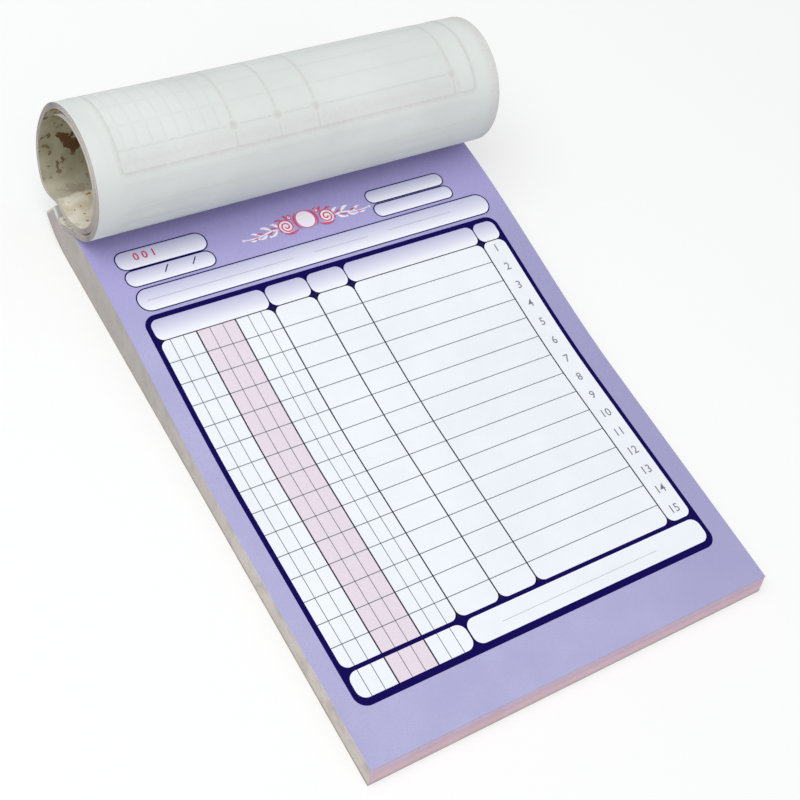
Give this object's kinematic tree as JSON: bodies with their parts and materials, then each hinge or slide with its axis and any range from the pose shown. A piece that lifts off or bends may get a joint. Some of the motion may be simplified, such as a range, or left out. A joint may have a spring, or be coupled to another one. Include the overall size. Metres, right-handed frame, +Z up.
{
  "type": "invoice book",
  "caption": "Stapled pad of ruled carbonless invoice sets bound along the top edge, with the cover and the used leaves rolled into a tube over the binding.",
  "frame": {"origin": "middle of the flat underside: half way across the width and half way from front edge to spine", "axes": "+X to the right of the page, +Y towards the bound edge, +Z up from the table through the leaves"},
  "size_m": [0.148, 0.2215, 0.0553],
  "materials": {
    "board": "matt grey board",
    "white_paper": "uncoated",
    "pink_paper": "uncoated, tinted",
    "form_paper": "lilac print, uncoated",
    "leaf_backs": "uncoated",
    "cover_paper": "printed, satin",
    "strip_paper": "matt, glued",
    "glue": "dried padding glue",
    "wire": "galvanised wire"
  },
  "bodies": {
    "pad": {"back_board": "board", "unused_sets_01": "pink_paper", "unused_sets_02": "white_paper", "unused_sets_03": "pink_paper", "unused_sets_04": "white_paper", "unused_sets_05": "pink_paper", "unused_sets_06": "white_paper", "unused_sets_07": "pink_paper", "unused_sets_08": "white_paper", "unused_sets_09": "pink_paper", "unused_sets_10": "white_paper", "unused_sets_11": "pink_paper", "unused_sets_12": "white_paper", "unused_sets_13": "pink_paper", "copy_leaf_stub": "pink_paper", "invoice_leaf_stub": "form_paper", "turned_set_stubs": "leaf_backs", "cover_stub": "cover_paper", "spine_glue": "glue", "binding_strip": "strip_paper", "staple_1": "wire", "staple_2": "wire"},
    "copy": {"copy_leaf": "pink_paper"},
    "invoice": {"invoice_leaf": "form_paper"},
    "roll": {"turned_set_01": "leaf_backs", "turned_set_02": "leaf_backs", "turned_set_03": "leaf_backs", "turned_set_04": "leaf_backs", "turned_set_05": "leaf_backs", "turned_set_06": "leaf_backs", "turned_set_07": "leaf_backs", "turned_set_08": "leaf_backs", "turned_set_09": "leaf_backs", "turned_set_10": "leaf_backs", "cover": "cover_paper"}
  },
  "joints": [
    {"name": "copy_turn", "type": "hinge", "parent": "pad", "child": "copy", "pos_m": [0, 0.0962, 0.01113], "axis": [-1, 0, 0], "range_deg": [0, 12]},
    {"name": "invoice_turn", "type": "hinge", "parent": "copy", "child": "invoice", "pos_m": [0, 0.0962, 0.01113], "axis": [-1, 0, 0], "range_deg": [0, 12]},
    {"name": "roll_turn", "type": "hinge", "parent": "invoice", "child": "roll", "pos_m": [0, 0.0962, 0.01113], "axis": [-1, 0, 0], "range_deg": [0, 14]}
  ]
}
